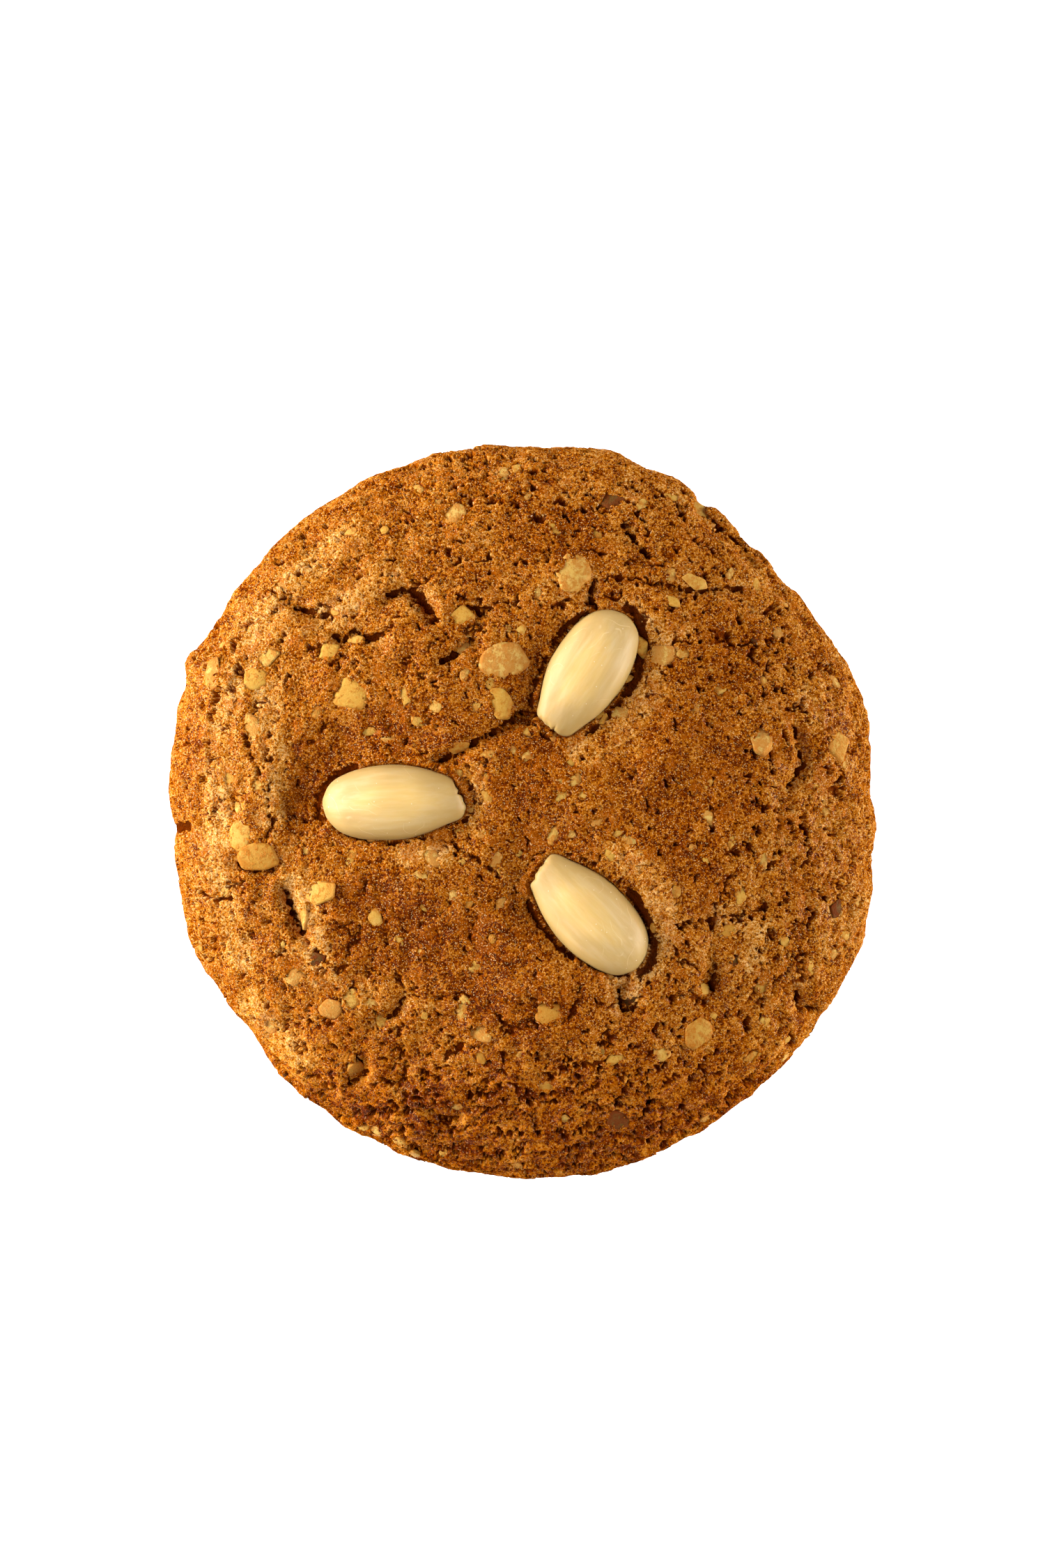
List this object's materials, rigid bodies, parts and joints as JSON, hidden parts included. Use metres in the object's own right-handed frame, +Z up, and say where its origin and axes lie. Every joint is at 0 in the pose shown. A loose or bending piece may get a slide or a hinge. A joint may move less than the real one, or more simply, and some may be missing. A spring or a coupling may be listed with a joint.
{
  "type": "lebkuchen",
  "caption": "Round domed lebkuchen with a cracked, porous brown crust and blanched almonds pressed into the top.",
  "frame": {"origin": "middle of the flat underside, centred on the outline seen from above", "axes": "+Z up through the middle of the domed crust, +X to the right and +Y to the top of the picture as the picture shows it from above"},
  "size_m": [0.0966, 0.1004, 0.0199],
  "materials": {
    "baked_dough": "matte, crusty and full of pores",
    "blanched_nut": "waxy, satin"
  },
  "bodies": {
    "root": {"lebkuchen": "baked_dough", "almond_back": "blanched_nut", "almond_left": "blanched_nut", "almond_front": "blanched_nut"}
  },
  "joints": []
}
